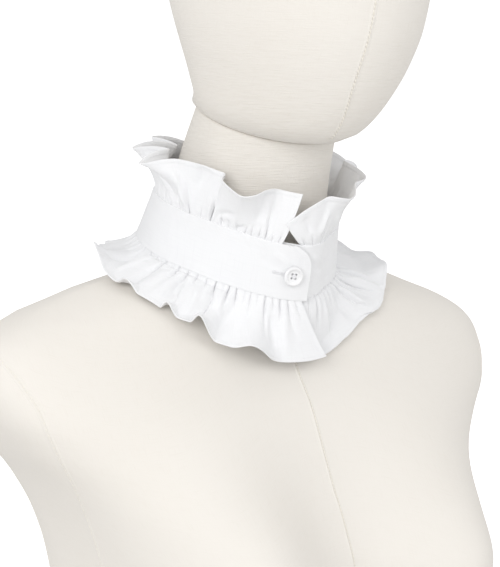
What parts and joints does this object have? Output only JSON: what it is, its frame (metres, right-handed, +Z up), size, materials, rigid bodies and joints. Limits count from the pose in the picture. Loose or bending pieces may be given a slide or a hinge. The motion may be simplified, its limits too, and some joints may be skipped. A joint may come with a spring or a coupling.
{
  "type": "ruffled neck collar on a limbless dress form",
  "caption": "Buttoned neckband with a gathered ruffle standing above it and one hanging below, worn by a padded half-length display form with a plain egg head.",
  "frame": {"origin": "middle of the flat underside of the dress form, at the middle of the whole part's plan box", "axes": "+Z up through the neck and head, -Y the way the form faces, +X the wearer's left"},
  "size_m": [0.408, 0.268, 0.6539],
  "materials": {
    "cotton": "crisp matte white cotton poplin",
    "button_resin": "polished white four-hole shirt button",
    "canvas": "fine ecru linen stretched over a padded form"
  },
  "bodies": {
    "root": {"band": "cotton", "ruffle_top": "cotton", "ruffle_bottom": "cotton", "button": "button_resin", "form_torso": "canvas", "form_head": "canvas"}
  },
  "joints": []
}
